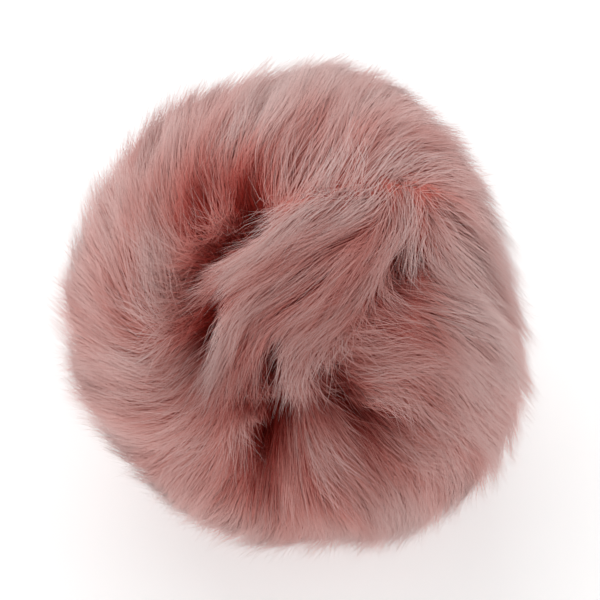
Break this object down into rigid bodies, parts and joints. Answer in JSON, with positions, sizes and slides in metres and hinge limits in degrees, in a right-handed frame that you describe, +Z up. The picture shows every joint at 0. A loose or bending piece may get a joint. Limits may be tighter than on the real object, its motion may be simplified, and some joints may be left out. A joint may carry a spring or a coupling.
{
  "type": "fur pom pom",
  "caption": "Round long-haired fur pom pom, dyed dusty pink, its locks combed over from crooked partings, lying on a small flat spot.",
  "frame": {"origin": "on the surface that the ball rests on, under the middle of its bounding box", "axes": "+Z up; the combed face with the partings looks towards -Y and 60 degrees up; +X is to the right seen from there"},
  "size_m": [0.089, 0.0924, 0.084],
  "materials": {
    "fur": "soft long dyed fur, dry, pale at the tips and dark red between the locks"
  },
  "bodies": {
    "root": {"fur_ball": "fur"}
  },
  "joints": []
}
